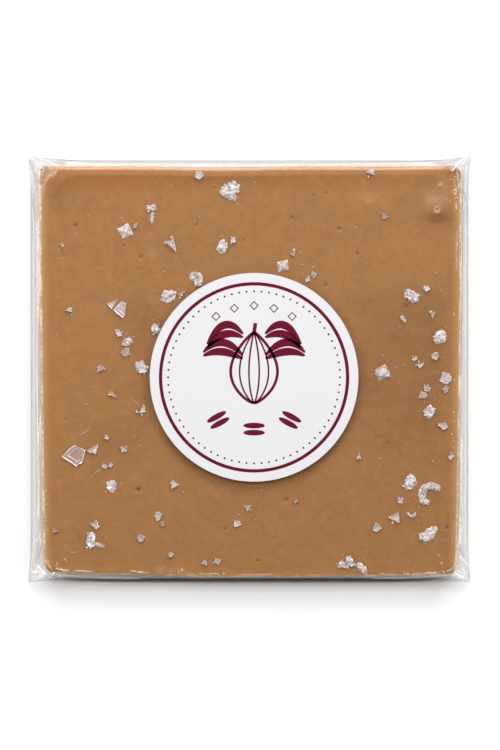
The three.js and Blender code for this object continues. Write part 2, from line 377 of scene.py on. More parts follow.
def faceHeight(x, y, ripples):
    # a crest that falls inward with the 2.4th power and outward as a quarter ellipse, with a fold, a blister,
    # ripples, bumps and pits
    sides = np.stack(sideDistances(x, y))
    weights = np.exp(-np.clip(sides, 0, None) / 2.0)
    keys = ("shoulders", "falls", "crests", "reaches")
    shoulder, fall, crest, reach = (np.tensordot(slab[key], weights, 1) / weights.sum(0) for key in keys)
    inward = np.clip(1 - (corneredDistance(x, y, slab["poolRadii"]) - shoulder) / reach, 0, 1)
    outward = np.clip((shoulder - corneredDistance(x, y, slab["shoulderRadii"])) / shoulder, 0, 0.995)
    crest = crest * (1 - 0.5 * smoothStep(-2.0, 18.0, x) * smoothStep(30.0, 40.0, y))   # lower at the right
    height = slab["face"] + crest * inward ** 2.4 - fall * (1 - np.sqrt(1 - outward ** 2))
    height += slab["ripple"] * ripples(x, y)
    height += slab["fold"][1] * smoothStep(-0.35, 0.25, pastFold(sides[0], sides[3]))   # a sharp step
    blisterX, blisterY, radius, rise = slab["blister"]
    craterRadius, depth = slab["crater"]
    fromBlister = np.hypot(x - blisterX, y - blisterY)
    height += rise * (1 - smoothStep(0.15 * radius, radius, fromBlister))
    height += 0.4 * depth * np.exp(-((fromBlister - craterRadius) / 0.22) ** 2)   # the crater's lip
    height -= depth * (1 - smoothStep(0.35 * craterRadius, craterRadius, fromBlister))
    for bumpX, bumpY, bumpRadius, bumpRise in bumps:
        height += bumpRise * bell(x, y, bumpX, bumpY, bumpRadius)
    for pitX, pitY, pitRadius in pits:
        height -= 0.9 * pitRadius * bell(x, y, pitX, pitY, pitRadius, 4)
    return height


# darker and lighter patches of the face: x, y, radius across, radius up, strength; the first and sixth are
# painted shade below and beside the blister, and the third and eighth are a painted shadow of the label at
# its right and left
patchesAndShadows = [
    (45.2, 36.1, 3.4, 1.2, -0.90), (44, 4.8, 2.6, 2.6, -0.25), (27.2, -2, 3.4, 10, -0.36),
    (40, 27, 13, 7.5, 0.20), (29, 41.6, 4.6, 3, 0.55), (42.5, 37.5, 4, 4.5, -0.18),
    (-25.5, 11.5, 6, 6, -0.50), (-25.4, -3.5, 2.4, 11, -0.45), (-33.5, -16.8, 6.5, 4.6, -0.45),
    (-45, 42, 5, 4.5, -0.40), (-37, -45, 4, 4.5, -0.20),
]


def faceToneAndShade(x, y):
    # how light the chocolate is, from 0 to 1: darker in a band at the right, with painted shade in the trough
    # behind the upper crest, and bell-shaped patches, some of them painted shadow and painted shade
    band = smoothStep(21.0, 17.0, y) * smoothStep(-26.0, -14.0, y)
    band = band * smoothStep(18.0, 38.0, x) * smoothStep(49.0, 44.5, x)
    toneAndShade = 0.35 + 0.0010 * y - 0.0024 * x - 0.44 * band
    share = 0.35 + 0.65 * smoothStep(-6.0, -18.0, x)
    trough = np.exp(-((corneredDistance(x, y, slab["poolRadii"]) - 4.6) / 1.5) ** 2)
    # painted shade in the trough behind the upper crest, most at the left
    toneAndShade -= 0.10 * trough * share * smoothStep(34.0, 41.0, y)
    for patchX, patchY, across, up, strength in patchesAndShadows:
        toneAndShade += strength * bell(x / across, y / up, patchX / across, patchY / up, 1)
    return np.clip(0.29 + 0.71 * toneAndShade, 0, 1)


def paintedRimLight(x, y):
    # painted light: the rounded rim at both sides and the land past the fold are made paler, as where they
    # catch the light
    left, right, lower, upper = sideDistances(x, y)
    side = 1 - smoothStep(-0.6, 2.9, np.minimum(left, right))
    return np.maximum(side ** 1.3, 0.55 * smoothStep(-0.5, 0.2, pastFold(left, upper)))


def packedLines(count, width, extra=2.2, reach=2.6):
    # values from -1 to 1 that crowd towards both ends, by inverting the sum of a density
    fine = np.linspace(-1, 1, 4001)
    density = 1 + extra * np.exp(-(1 - np.abs(fine)) * width / 2 / reach)
    total = np.concatenate([[0], np.cumsum((density[1:] + density[:-1]) / 2)])
    return np.interp(np.linspace(0, total[-1], count), total, fine)


def slabPlan(u, v):
    # a square of -1 to 1 each way onto the slab's outline, each corner square pressed into a quarter disc
    halfX, halfY = slab["width"] / 2 - slab["edgeRound"], slab["length"] / 2 - slab["edgeRound"]
    x, y = u * halfX, v * halfY
    radius = atCorner(slab["cornerRadii"], x > 0, y > 0)
    a = np.clip((np.abs(x) - halfX + radius) / radius, 0, None)
    b = np.clip((np.abs(y) - halfY + radius) / radius, 0, None)
    pressed = (a > 0) & (b > 0)
    factor = np.where(pressed, np.maximum(a, b) / np.maximum(np.hypot(a, b), 1e-9), 1)
    x = np.where(pressed, np.sign(x) * (halfX - radius + a * factor * radius), x)
    y = np.where(pressed, np.sign(y) * (halfY - radius + b * factor * radius), y)
    return x * bulge(y / halfY) + slab["middle"][0], y + slab["middle"][1]


def bulge(share):
    # what the taper and the bow make of the slab's mean width at a share of its half length
    return 1 + (slab["taper"] * share + 2 * bowed(share)) / slab["width"]


def drawnTogether(x, y):
    # moves the grid's points towards each pit, so that its cup has points enough
    for pitX, pitY, pitRadius in pits:
        pull = 0.55 * bell(x, y, pitX, pitY, 3.2 * pitRadius)
        x, y = x - (x - pitX) * pull, y - (y - pitY) * pull
    return x, y


def borderOf(rows, columns):
    # the grid's outermost points, counter-clockwise from its first
    index = np.arange(rows * columns).reshape(rows, columns)
    return np.concatenate([index[0, :-1], index[:-1, -1], index[-1, :0:-1], index[:0:-1, 0]])


def outwardOf(loop):
    # the flat outward normal at each point of a counter-clockwise loop
    along = np.roll(loop, -1, 0) - np.roll(loop, 1, 0)
    normal = np.stack([along[:, 1], -along[:, 0]], 1)
    return normal / np.linalg.norm(normal, axis=1, keepdims=True)


def scrapeAndHighlightShares(x, y, isUp, isRim, broken):
    # how pale each point is: in broken runs along the upright and lower edges, with painted highlights on the
    # upper crest, along the fold and on the crater's lip, paler past the fold, along the scratches, and with
    # painted light in the pale spots
    left, right, lower, upper = sideDistances(x, y)
    run = (0.35 + 0.65 * smoothStep(-0.6, 0.8, broken)) * (upper > 2.0)
    upright = 1 - smoothStep(0.30, 0.70, np.minimum(left, right + 0.12))
    level = 1 - smoothStep(0.2, 0.45, lower)
    pastArc = pastFold(left, upper)
    fromBlister = np.hypot(x - slab["blister"][0], y - slab["blister"][1])
    return np.maximum.reduce([
        0.80 * run * upright * isUp,
        0.5 * run * level * isUp,
        # painted highlight on the upper crest
        (0.40 - 0.12 * run) * (1 - smoothStep(0.15, 1.3, upper)) * isRim,
        # painted highlight along the fold
        0.42 * np.exp(-(pastArc / 0.15) ** 2),
        0.10 * smoothStep(-0.1, 0.1, pastArc) * (1 + broken),
        # painted highlight on the crater's lip
        0.38 * np.exp(-((fromBlister - 0.62) / 0.16) ** 2),
        lineMark(x, y, scratches) * isUp,
        *(haze * bell(x, y, hazeX, hazeY, radius) for hazeX, hazeY, radius, haze in paleAndLitSpots),
    ])


def paintedGlowShares(x, y, isRim):
    # a painted glow, as of light through thin chocolate: on the upper crest, most at the left, a little
    # further in at the left, and along the glow lines
    upper = sideDistances(x, y)[3]
    strength = 0.35 + 0.65 * np.exp(-((x + 32.0) / 10.0) ** 2) + 0.25 * smoothStep(-14, 4, x)
    return np.maximum.reduce([
        np.exp(-((upper - 1.15) / 0.62) ** 2) * isRim * strength,
        lineMark(x, y, paintedGlows),
        0.28 * isRim * np.exp(-((upper - 3.2) / 2.4) ** 2) * smoothStep(-6, -20, x),
    ])


def paintedShadeShares(x, y):
    # painted shade in each pit, and a little painted shadow just below each flake
    pitShades = [bell(x, y, pitX, pitY, 0.9 * radius, 4) for pitX, pitY, radius in pits]
    flakeShadows = [0.24 * bell(x, y, flakeX - 0.15, flakeY - 0.40, 0.62 * min(size, 3.6))
              for flakeX, flakeY, size, *rest in [*plates, *pyramids, *heaps]]
    return np.maximum.reduce(pitShades + flakeShadows)


def makeChocolate(finish):
    draws = np.random.default_rng(41)
    ripples, ragged, broken = (
        waves(draws, count, longest, shortest)
        for count, longest, shortest in ((14, 46.0, 11.0), (30, 9.0, 0.9), (16, 14.0, 0.8)))
    count = slab["lines"]
    lines = packedLines(count, slab["length"])
    x, y = drawnTogether(*slabPlan(*np.meshgrid(lines, lines)))
    y = y + edgeShift(x, y)
    points = np.stack([x, y, faceHeight(x, y, ripples)], -1).reshape(-1, 3)
    border = borderOf(count, count)
    loop = points[border]
    outward = outwardOf(loop[:, :2])
    chips = slab["chip"] * ragged(loop[:, 0], loop[:, 1])[:, None] * outward
    rings = [[*(loop[:, :2] + outward * out + chips).T, loop[:, 2] + drop] for out, drop in slab["wall"]]
    rings += [[*(loop[:, :2] + outward * out).T, np.full(len(loop), height)] for out, height in slab["toe"]]
    rings = [np.stack(ring, 1) for ring in rings]
    chain = np.concatenate([border, len(points) + np.arange(len(loop) * len(rings))]).reshape(-1, len(loop))
    wallFaces = chain.ravel()[gridFaces(len(rings) + 1, len(loop), closed=True)][:, ::-1]
    points = np.concatenate([points, *rings, [[*slab["middle"], slab["toe"][-1][1]]]])
    faces = [gridFaces(count, count), wallFaces, fanFaces(chain[-1], len(points) - 1, flip=True)]
    x, y, z = points.T
    isUp, isRim = z > slab["face"] - 1.1, z > slab["face"] - 1.6
    chocolate = makePiece("chocolate", points, faces, finish, marks={
        "scrapeAndHighlight": scrapeAndHighlightShares(x, y, isUp, isRim, broken(x, y)), "paintedShade": 0.75 * paintedShadeShares(x, y),
        "toneAndShade": faceToneAndShade(x, y), "paintedGlow": 0.9 * paintedGlowShares(x, y, isRim),
        # the rim mark is painted light
        "rim": paintedRimLight(x, y) * (z > slab["face"] - 1.0),
    })
    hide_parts("chocolate_slab")
    return ripples


# flakes as they lie: x, y, width, and frost from 0, glassy, to 1, white
plates = [
    (-16.3, 17.9, 2.1, 0.6), (-31.3, 8.6, 1.9, 0.9), (-29.7, 4, 2.4, 0.4), (-4.2, 30.7, 2.1, 0.8),
    (34.9, -35.5, 3.2, 0.5), (22.9, -47.3, 1.9, 0.8), (25, -46.6, 1.9, 0.8), (-37.3, -37.6, 2.8, 0.35),
    (-37.4, -19.4, 2.8, 0.7), (-30.3, -19.3, 1.9, 0.8), (-18, -27.9, 2.3, 0.5), (-21.8, -35.3, 2, 0.7),
    (-3, -37.1, 1.9, 0.95), (-7.7, -46.2, 2, 0.5), (26.1, -21, 1.7, 0.6), (30.5, -38, 2.1, 0.6),
    (-18.8, 29.9, 3.8, 0.4), (-43.3, 13.8, 2.2, 0.9), (-22.1, 9.7, 2.6, 0.7), (-12, 46.4, 2.2, 0.7),
    (29, 47, 2.3, 0.8), (10.4, 27.8, 2, 0.5), (15.3, 22.9, 1.8, 0.8), (44.1, 13.2, 2, 0.5),
    (36.8, 11.9, 1.7, 0.8), (40.9, 1.1, 2, 0.95), (44.7, 3, 1.9, 0.35), (47, -2.2, 2.9, 0.7),
    (42.6, -4.6, 1.9, 0.6), (41.5, -6.4, 2.1, 0.4), (43, -10.1, 3.1, 0.7), (46.5, -13.4, 2.2, 0.6),
    (-25.7, 0.4, 3.4, 0.7), (-35.6, 0, 2.2, 0.35), (-32.7, -6.2, 2.3, 0.95), (-25.9, -9.8, 2.7, 0.6),
    (-26.1, -40.6, 2, 0.5), (-18.9, -44.7, 1.5, 0.5), (-0.1, -33, 2, 0.5), (42.4, 19.2, 1.7, 0.9),
    (39.6, 2.6, 1.4, 0.7), (13.9, 21.5, 1.5, 0.7), (-10.7, -46.5, 1.4, 0.5), (11.3, -31.5, 1.5, 0.5),
    (-46.5, -38.8, 1.6, 0.6), (48.3, -21, 1.8, 0.7), (-34.9, -23.3, 1.5, 0.7), (-33.3, -23, 1.3, 0.7),
    (-20.9, -37.1, 1.4, 0.5), (-34.2, -16.5, 1.3, 0.7), (36.1, -31.4, 1.7, 0.5), (32.3, 36.7, 1.4, 0.5),
    (-45, 29.7, 1.1, 0.7), (46.9, -4.9, 1.9, 0.6), (-27.2, 34.3, 1.2, 0.7),
]
# plates by their corners, and frost
shapedPlates = [
    ([(-45.2, -21), (-41.5, -23.4), (-39.9, -22.3), (-39.4, -19.6), (-42, -18.2)], 0.25),
    ([(-34.2, 15.7), (-33, 14.3), (-31.6, 16.8)], 0.8),
    ([(-32.7, 14.2), (-30.4, 12.1), (-29.8, 13.1), (-29.6, 15.7), (-30.8, 16.2)], 0.75),
]
pyramids = [
    (-29.7, 33, 3.3, 1), (8, 24.8, 3.2, 1), (31.9, -1, 3.5, 0.7),
]
heaps = [
    (-4.7, 42.9, 4.8, 3.4, 20, 60, 0.9), (-12.7, 21.7, 3.8, 2.6, 120, 20, 0.5),
    (-19.3, 17.5, 3.6, 2.8, 10, 40, 0.85), (39, 17.5, 3.7, 2.6, 150, 30, 0.7),
    (45.8, 7.6, 3.3, 2.8, 70, 0, 1), (-29.3, 6.5, 2.4, 1.7, 30, 0, 0.7),
    (-6.4, 29.3, 3.2, 2.4, 80, 30, 0.85), (38.5, -27.1, 3.4, 2.7, 60, 0, 0.95),
    (41.8, -28.8, 9.2, 1.9, 232, 230, 0.65), (38.9, -35.3, 3, 0.8, 180, -170, 0.5),
    (43, -39.6, 4.9, 2.4, 40, 30, 0.8), (-38, -41.2, 4, 2, 85, 20, 1), (-35.8, -42.3, 2.2, 1, -20, 40, 0.7),
    (-33, -28.1, 2.8, 2.3, 90, 0, 0.95), (-23.6, 38.6, 2.3, 1.5, 10, 20, 0.85),
    (-23.5, 36.4, 2.9, 1, 80, -40, 0.6), (26.9, -47.7, 2.9, 1.9, 150, 0, 0.75),
    (24, -46.2, 2.4, 1.9, 120, 0, 0.7), (21.9, -47, 1.9, 1.5, 30, 0, 0.6),
    (-4.4, 41.5, 2.6, 1.9, -15, 0, 0.85), (43.2, -10.3, 3, 2.2, 80, 0, 0.7),
    (-25.9, 0.4, 3.2, 2.3, 150, 0, 0.6), (-22.5, 9.6, 2.4, 1.9, 100, 0, 0.6),
    (31.9, -1, 3.3, 2.2, 10, 0, 0.75),
]
slivers = [
    (-39.6, -15.1, 3.4, 32, 0.35), (-27.5, -7.8, 2.4, -40, 0.3), (-36.4, -24.6, 2, 25, 0.3),
    (-42, -43.9, 1.9, 2, 0.25), (36.3, -31.6, 2.2, -40, 0.5), (32.3, 36.7, 1.8, -60, 0.25),
    (-25.8, -40.4, 2.2, -25, 0.3), (-46.2, 8.2, 1.2, 70, 0.2),
]
strewing = {
    "ceiling": 1.15, "underFilm": 0.06,     # how high crystals stand, and how far below the film
    "grains": 210, "grainSize": (0.10, 0.34), "clearOfLabel": 25.3, "clearOfEdge": 1.2,
    "splinters": 2, "crystals": 3.6, "crumbs": 6,   # beside a plate, on a heap's square mm and round a heap
}


class Gathered:
    # small solids gathered as arrays, to become one piece
    def __init__(self):
        self.points, self.faces, self.frost, self.total = [], [], [], 0

    def gather(self, points, faces, frost=()):
        self.points.append(points)
        self.faces += [part + self.total for part in faces]
        self.frost.append(frost)
        self.total += len(points)

    def make(self, name, finish, slotName):
        frost = np.concatenate(self.frost)
        marks = {"frost": frost} if len(frost) else None
        makePiece(name, np.concatenate(self.points), self.faces, finish, smooth=False, marks=marks)


def turned(angle, axis):
    # the matrix that turns rows of points by an angle about x, y or z, as 0, 1 or 2
    cosine, sine = np.cos(angle), np.sin(angle)
    first, second = [(1, 2), (2, 0), (0, 1)][axis]
    matrix = np.eye(3)
    matrix[first, first] = matrix[second, second] = cosine
    matrix[first, second], matrix[second, first] = sine, -sine
    return matrix


class Strewn(Gathered):
    # crystals, each turned, tipped and pressed into the face
    def __init__(self, draws, ripples):
        super().__init__()
        self.draws, self.ripples = draws, ripples

    def add(self, crystal, x, y, tip, turn, rise=None):
        points, faces, frost = crystal
        tipX, tipY = self.draws.uniform(-tip, tip, 2)
        placed = points @ turned(tipX, 0) @ turned(tipY, 1) @ turned(turn, 2)
        ground = float(faceHeight(np.array([x]), np.array([y]), self.ripples)[0])
        above = min(strewing["ceiling"], 0.86 * np.ptp(placed[:, 2]) if rise is None else rise)
        placed += [x, y, min(ground + above, bag["top"] - strewing["underFilm"]) - placed[:, 2].max()]
        self.gather(placed, faces, frost)

    def addTurned(self, crystal, x, y, tip):
        # the same, turned by chance
        self.add(crystal, x, y, tip, self.draws.uniform(0, 2 * np.pi))


def steppedCrystal(draws, outline, levels, shake=0.03, drift=(0, 0), ridges=0):
    # rings of one outline at (share of its width, height, frost), a little shaken, with a fan at both ends;
    # drift moves the innermost rings aside, and with ridges every third point is that much whiter
    count, drift = len(outline), np.array(drift)
    shares, heights, frosts = (np.repeat(values, count) for values in zip(*levels))
    shaken = shares * draws.uniform(1 - shake, 1 + shake, len(shares))
    plan = np.tile(outline, (len(levels), 1)) * shaken[:, None] + (1 - shares)[:, None] * drift
    ridged = np.where(np.arange(len(frosts)) % 3 == 0, 1, 1 - ridges)
    frosts = frosts * draws.uniform(0.7, 1.1, len(frosts)) * ridged
    (lowHeight, lowFrost), (topShare, topHeight, topFrost) = levels[0][1:], levels[-1]
    ends = [[*drift, lowHeight], [*(drift * (1 - topShare)), topHeight]]
    points = np.concatenate([np.column_stack([plan, heights]), ends])
    ring = np.arange(count)
    faces = [gridFaces(len(levels), count, closed=True), fanFaces(ring, len(points) - 2, flip=True),
             fanFaces((len(levels) - 1) * count + ring, len(points) - 1)]
    return points, faces, np.clip([*frosts, lowFrost, topFrost], 0, 1)


def subdivided(outline, shares):
    # an outline's corners, with points at shares of each side after them
    shares = np.array(shares)[None, :, None]
    return (outline[:, None] * (1 - shares) + np.roll(outline, -1, 0)[:, None] * shares).reshape(-1, 2)


def brokenOutline(draws, width, corners, steps=3):
    # straight sides between corners at uneven angles and radii, each side's points a little ragged
    angle = 2 * np.pi * (np.arange(corners) + draws.uniform(-0.28, 0.28, corners)) / corners
    radius = width / 2 * draws.uniform(0.72, 1.22, corners)
    corner = np.stack([radius * np.cos(angle), radius * np.sin(angle)], 1)
    return subdivided(corner, np.arange(steps) / steps) * draws.uniform(0.93, 1.06, (corners * steps, 1))


def plateCrystal(draws, outline, frost, drift=None):
    # a broken plate: a bright rim round stepped terraces that sink to a thin, clearer middle off its centre
    thick = draws.uniform(0.42, 0.66)
    if drift is None:
        drift = draws.uniform(-0.22, 0.22, 2) * np.ptp(outline, axis=0)
    rim, line, clear = 0.80 + 0.20 * frost, 0.55 + 0.45 * frost, 0.04 + 0.62 * frost
    levels = [(0.86, 0, clear), (1.0, 0.3 * thick, rim), (0.985, thick, rim), (0.90, 0.93 * thick, rim),
              (0.85, 0.62 * thick, clear), (0.66, 0.70 * thick, clear), (0.63, 0.92 * thick, line),
              (0.56, 0.86 * thick, line), (0.53, 0.50 * thick, clear), (0.30, 0.56 * thick, clear)]
    return steppedCrystal(draws, outline, levels, 0.05, drift)


def pyramidCrystal(draws, width, frost):
    # four slopes in terraces up to a blunt top, whitest along their ridges
    angle = np.radians(45 + 90 * np.arange(4)) + draws.uniform(-0.1, 0.1, 4)
    corner = width / 2 * draws.uniform(1.1, 1.35, (4, 1)) * np.stack([np.cos(angle), np.sin(angle)], 1)
    outline = subdivided(corner, (0, 0.35, 0.68)) * draws.uniform(0.94, 1.03, (12, 1))
    shares = (0.9, 1.0, 0.90, 0.76, 0.72, 0.56, 0.52, 0.34, 0.30, 0.10)
    heights = (0, 0.12, 0.34, 0.36, 0.56, 0.58, 0.78, 0.80, 0.96, 1.02)
    frosts = frost * np.array([0.7, 1.0, 0.85, 0.95, 0.75, 0.95, 0.8, 1.0, 0.9, 1.0])
    return steppedCrystal(draws, outline, list(zip(shares, heights, frosts)), 0.03, (0, 0), 0.42)


def shardCrystal(draws, width, frost):
    # a lump with a few flat sides
    outline = brokenOutline(draws, width, draws.integers(4, 6), 1)
    tall, clear = width * draws.uniform(0.45, 0.95), 0.6 * frost
    levels = [(0.5, 0, clear), (1.0, 0.35 * tall, frost), (0.85, 0.75 * tall, clear), (0.35, tall, frost)]
    return steppedCrystal(draws, outline, levels, 0.14)


leastCurve = 0.05   # in radians; a spine that bends less is straight
heapAcross = np.array([-0.7, -1.0, -0.80, -0.45, -0.05, 0.40, 0.80, 1.0, 0.7])
heapHigh = np.array([0.0, 0.25, 0.70, 0.95, 1.0, 0.92, 0.68, 0.22, 0.0])


def heapCrystal(draws, length, width, curve, frost):
    # flat facets over a bent spine: rings of nine points round it, their reach and height shaken
    steps, around = max(5, int(2.1 * length)), len(heapAcross)
    along = np.linspace(-0.5, 0.5, steps)
    if abs(curve) > leastCurve:
        spine = length / curve * np.stack([np.sin(curve * along), 1 - np.cos(curve * along)], 1)
    else:
        spine = np.stack([length * along, 0 * along], 1)
    side = np.stack([-np.sin(curve * along), np.cos(curve * along)], 1)
    taper = ((1 - (2 * np.abs(along)) ** 3.0) ** 0.6 * 0.75 + 0.25)[:, None]
    reach = width / 2 * taper * heapAcross * draws.uniform(0.62, 1.32, (steps, around))
    lift = heapHigh * taper * draws.uniform(0.35, 1.0, (steps, around)) * min(1.25, 0.5 * width + 0.25)
    slide = draws.uniform(-0.55, 0.55, (steps, around)) * length / steps
    direction = np.stack([side[:, 1], -side[:, 0]], 1)
    plan = spine[:, None] + side[:, None] * reach[..., None] + direction[:, None] * slide[..., None]
    ends = [[*spine[0], 0.2], [*spine[-1], 0.2]]
    points = np.concatenate([np.concatenate([plan, lift[..., None]], -1).reshape(-1, 3), ends])
    glow = frost * draws.choice([0.30, 0.8, 1.0], len(points), p=[0.30, 0.30, 0.40])
    ring = np.arange(around)
    faces = [gridFaces(steps, around, closed=True)[:, ::-1], fanFaces(ring, len(points) - 2),
             fanFaces((steps - 1) * around + ring, len(points) - 1, flip=True)]
    return points, faces, glow


def barCrystal(draws, length, frost):
    # a thin splinter, bent a little
    x = np.array([-0.5, 0.0, 0.5, 0.5, 0.0, -0.5]) * length
    bend = 0.25 * np.cos(np.pi * x / length) * draws.uniform(-1, 1)
    y = np.array([-0.06, -0.10, 0.04, 0.16, 0.10, 0.05]) + bend
    levels = [(0.9, 0, frost), (1.0, 0.15, frost), (0.96, 0.32, frost)]
    return steppedCrystal(draws, np.stack([x, y], 1), levels, 0.0)


def makeSalt(finish, ripples):
    draws = np.random.default_rng(97)
    heap = Strewn(draws, ripples)
    for corners, frost in shapedPlates:
        middle = np.mean(corners, axis=0)
        sides = subdivided(np.array(corners), (0, 0.35, 0.7)) - middle
        sides = sides * draws.uniform(0.96, 1.03, (len(sides), 1))
        heap.add(plateCrystal(draws, sides, frost, (0.5, 0.45)), *middle, 0.04, 0.0)
    for x, y, width, frost in plates:
        outline = brokenOutline(draws, width, draws.integers(3, 6))
        heap.addTurned(plateCrystal(draws, outline, frost), x, y, 0.22)
        for splinter in range(strewing["splinters"]):   # they stand along its edge
            angle, reach = draws.uniform(0, 2 * np.pi), 0.42 * width
            crystal = shardCrystal(draws, draws.uniform(0.2, 0.35) * width, 0.5 + 0.4 * frost)
            turn, rise = draws.uniform(0, 2 * np.pi), draws.uniform(0.35, 0.75)
            heap.add(crystal, x + reach * np.cos(angle), y + reach * np.sin(angle), 0.5, turn, rise)
    for x, y, width, frost in pyramids:
        heap.add(pyramidCrystal(draws, width, frost), x, y, 0.06, draws.uniform(0.1, 0.5), 0.9)
    for x, y, length, width, angle, bend, frost in heaps:
        strewHeap(heap, x, y, length, width, np.radians(angle), np.radians(bend), frost)
    for x, y, length, angle, frost in slivers:
        heap.add(barCrystal(draws, length, frost), x, y, 0.1, np.radians(angle), 0.25)
    placed = 0
    halfWidth, halfLength = (slab[key] / 2 - strewing["clearOfEdge"] for key in ("footWidth", "length"))
    labelX, labelY = label["middle"]
    least, spread = strewing["grainSize"]
    while placed < strewing["grains"]:
        x, y = draws.uniform(-halfWidth, halfWidth), draws.uniform(-halfLength, halfLength)
        if np.hypot(x - labelX, y - labelY) < strewing["clearOfLabel"]:
            continue
        size = least + spread * draws.uniform() ** 3
        heap.addTurned(shardCrystal(draws, size, draws.uniform(0.4, 0.9)), x, y, 0.5)
        placed += 1
    heap.make("salt_flakes", finish, "sea_salt")


def strewHeap(heap, x, y, length, width, facing, curve, frost):
    # a bent heap with sharp crystals grown over it and beside it, and crumbs scattered round it
    draws = heap.draws
    heap.add(heapCrystal(draws, length, width, curve, 0.35 + 0.6 * frost), x, y, 0.05, facing)
    for crystal in range(int(strewing["crystals"] * length * width)):
        along, aside = draws.uniform(-0.48, 0.48), draws.uniform(-0.42, 0.42) * width
        ahead, beside = length * along, aside
        if abs(curve) > leastCurve:
            bow = length / curve
            ahead, beside = (bow - aside) * np.sin(curve * along), bow - (bow - aside) * np.cos(curve * along)
        spotX = x + ahead * np.cos(facing) - beside * np.sin(facing)
        spotY = y + ahead * np.sin(facing) + beside * np.cos(facing)
        depth = 1 - 0.6 * abs(2 * aside / width)
        size = draws.uniform(0.35, 0.95) * min(1.0, 0.45 * width)
        bright = draws.choice([0.2, 0.75, 1.0], p=[0.3, 0.25, 0.45]) * (0.45 + 0.55 * frost)
        shard = shardCrystal(draws, size, bright)
        turn, rise = draws.uniform(0, 2 * np.pi), depth * draws.uniform(0.45, 1.15)
        heap.add(shard, spotX, spotY, 0.7, turn, rise)
    for crumb in range(strewing["crumbs"]):
        shard = shardCrystal(draws, draws.uniform(0.12, 0.36), 0.4 + 0.5 * frost)
        spotX, spotY = (middle + draws.normal(0, 0.6 * length) for middle in (x, y))
        heap.addTurned(shard, spotX, spotY, 0.6)


# runs of scrapings: start x, y, end x, y, spread, how many; the widely spread ones are dust
runsOfScrapings = [
    (-48.6, -45.8, -47.6, -47.8, 0.10, 12), (-46.3, -47.9, -43.3, -48.4, 0.10, 26),
    (-42, -48.4, -37.8, -48.7, 0.08, 22), (-28.5, -48.4, -24.3, -48.9, 0.10, 16),
    (-22.4, -48, -15.8, -48.4, 0.35, 16), (-12, -49, -3, -49.1, 0.10, 12),
    (31.5, -48.9, 34.5, -49.2, 0.10, 6), (37.1, -49.2, 44.9, -48.9, 0.12, 24),
    (46, -48.7, 48.4, -48.2, 0.12, 14), (45.6, -44.6, 46.2, -47, 0.22, 9),
    (49.2, -47.2, 49.5, -45.6, 0.08, 6), (37, -45.5, 41, -48, 0.8, 10), (49.8, 30.5, 49.6, 24, 0.12, 20),
    (49.2, 46.2, 49.6, 41, 0.14, 22), (49.9, 47.6, 50.2, 43.5, 0.12, 16),
    (49.6, 40.4, 49.5, 38.2, 0.12, 12), (46.6, 46.5, 46.8, 38, 1.5, 34), (49.3, 17, 49.1, 12.5, 0.14, 5),
    (-49.7, 22, -49.5, 2, 0.14, 7), (-49.2, -25, -48.7, -40, 0.14, 14), (49.2, 2, 48.8, -30, 0.14, 12),
    (-44.8, -45.3, -43.6, -46.2, 0.14, 4), (-46.4, -46.9, -46.2, -46.9, 0.12, 3),
    (-49.4, 47.2, -46.4, 46, 0.4, 12),
]


def makeShavings(finish, ripples):
    # pale scrapings of chocolate along the edges, most at the lower one
    draws = np.random.default_rng(23)
    heap = Strewn(draws, ripples)
    for startX, startY, endX, endY, spread, count in runsOfScrapings:
        for scraping in range(count):
            share = draws.uniform()
            x = startX + (endX - startX) * share + draws.normal(0, spread)
            y = startY + (endY - startY) * share + draws.normal(0, spread)
            size = (0.14 + 0.34 * draws.uniform() ** 2) * (0.62 if spread > 0.5 else 1.0)
            shard = shardCrystal(draws, size, 1.0)
            turn, rise = draws.uniform(0, 6.3), draws.uniform(0.08, 0.3) * size / 0.3
            heap.add(shard, x, y, 0.6, turn, rise)
    heap.make("chocolate_shavings", finish, "caramel_chocolate")


bag = {
    "width": 105.1, "length": 100.4, "lowerLength": 101.0, "tip": (53.1, 51.25), "earLength": 12.0,
    "weld": 4.6, "top": 9.5, "under": 0.22, "flapDepth": 32.0,
    "arcSteps": 72, "sideSteps": 110, "tipSpan": 3.6,   # the weld next to a tip that faces a round corner
    # of the face and the back: how far in the flat part starts, and how many rings it and the rest have
    "faceSheet": (1.08, 26, 52), "backSheet": (2.2, 8, 20),
    "streakRise": 0.05, "dentRise": 0.02, "whitenedRise": 0.03, "crumpleRise": 0.10, "crumpleReach": 7.0,
    "sheetThickness": 0.04,
}
# creases that run in from each ear's tip: direction in degrees, height, spread in degrees, length
creases = [
    [(45, 0.50, 9, 7.0), (20, 0.30, 6, 13.0), (70, 0.35, 6, 14.0), (82, 0.25, 4, 22.0)],
    [(43, 0.45, 8, 7.5), (18, 0.28, 5, 15.0), (68, 0.32, 6, 12.0), (84, 0.22, 3, 26.0)],
    [(47, 0.05, 9, 8.0), (24, 0.28, 6, 11.0), (73, 0.38, 6, 15.0), (81, 0.20, 4, 20.0)],
    [(45, 0.05, 8, 8.0), (22, 0.30, 6, 10.0), (8, 0.25, 4, 18.0), (68, 0.32, 6, 9.0), (82, 0.28, 4, 18.0)],
]
